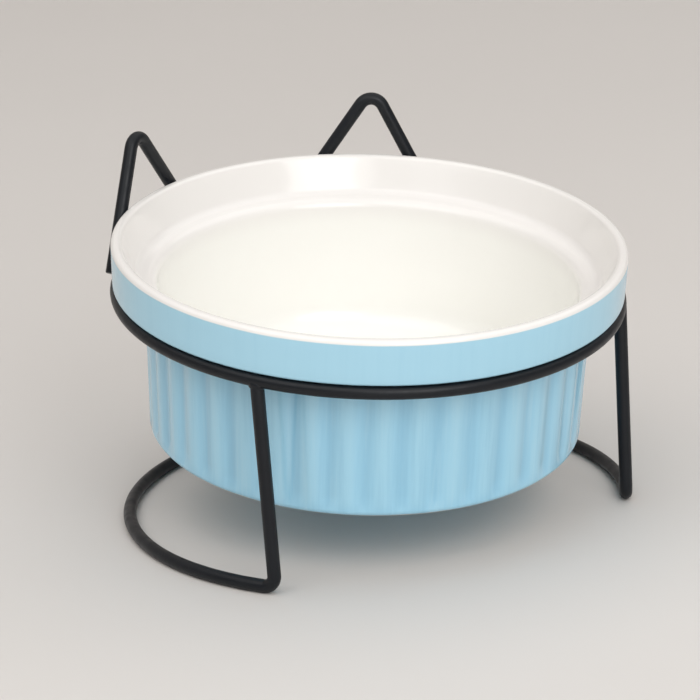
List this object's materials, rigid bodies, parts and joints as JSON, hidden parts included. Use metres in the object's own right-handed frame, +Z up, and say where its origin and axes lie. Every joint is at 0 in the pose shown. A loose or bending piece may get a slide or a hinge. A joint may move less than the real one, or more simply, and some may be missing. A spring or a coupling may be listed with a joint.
{
  "type": "raised pet bowl",
  "caption": "Round fluted ceramic pet bowl that hangs by its plain collar, tilted to the front, in a welded wire stand with a horseshoe base and ear-shaped loops at the back.",
  "frame": {"origin": "on the floor, under the middle of the whole object, side to side and front to back", "axes": "+Z up; -Y is the front, the low side of the bowl; +X to the right seen from the front"},
  "size_m": [0.1568, 0.1586, 0.1124],
  "materials": {
    "bowl_glaze": "gloss glaze, pale blue outside and cream white inside and over the lip",
    "black_wire": "satin black coating"
  },
  "bodies": {
    "stand": {"support_ring": "black_wire", "base_wire": "black_wire", "ear_left": "black_wire", "ear_right": "black_wire", "rear_leg_left": "black_wire", "rear_leg_right": "black_wire"},
    "bowl": {"bowl": "bowl_glaze"}
  },
  "joints": [
    {"name": "bowl_lift", "type": "slide", "parent": "stand", "child": "bowl", "axis": [0, -0.1236, 0.9923], "range_m": [0, 0.11]}
  ]
}
